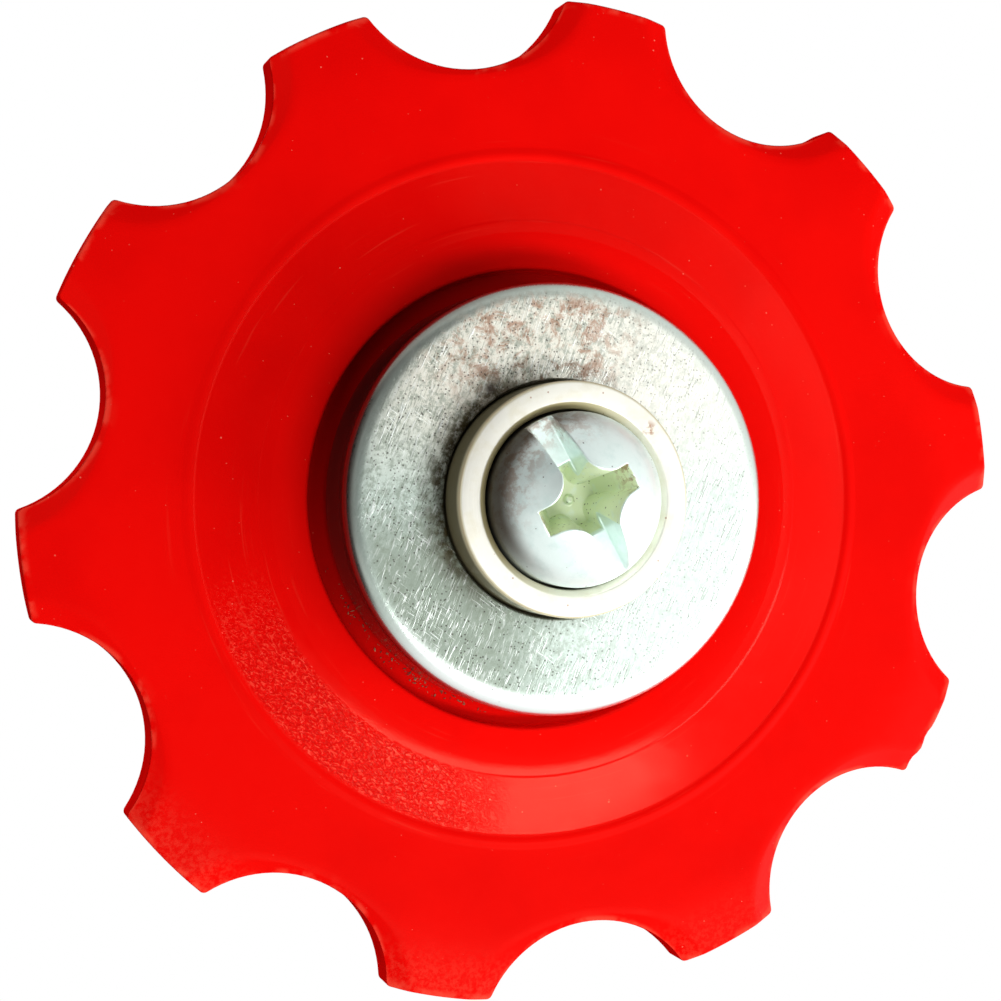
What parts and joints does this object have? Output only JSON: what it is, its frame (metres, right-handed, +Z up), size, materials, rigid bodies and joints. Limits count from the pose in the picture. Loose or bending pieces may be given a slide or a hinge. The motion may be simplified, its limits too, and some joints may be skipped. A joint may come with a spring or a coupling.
{
  "type": "derailleur jockey wheel",
  "caption": "Red plastic toothed pulley that guides a bicycle chain, turning on a steel bush between pressed dust caps, with its cage bolt.",
  "frame": {"origin": "on the axis of the wheel, in the middle plane of the teeth", "axes": "+Y along the axis, towards the threaded end of the bolt; the head of the bolt faces -Y; +Z up"},
  "size_m": [0.0378, 0.0176, 0.0376],
  "materials": {
    "wheel_plastic": "glossy red moulded plastic, dusty and a little scuffed",
    "bush_steel": "yellowish zinc plate, worn",
    "cap_steel": "grey zinc plate, finely scratched and stained",
    "bolt_steel": "pale zinc plate, rusty in the recess"
  },
  "bodies": {
    "axle": {"axle_bush": "bush_steel", "front_dust_cap": "cap_steel", "rear_dust_cap": "cap_steel", "pulley_bolt": "bolt_steel"},
    "wheel": {"toothed_wheel": "wheel_plastic"}
  },
  "joints": [
    {"name": "wheel_spin", "type": "hinge", "parent": "axle", "child": "wheel", "pos_m": [0, 0, 0], "axis": [0, 1, 0], "continuous": true}
  ]
}
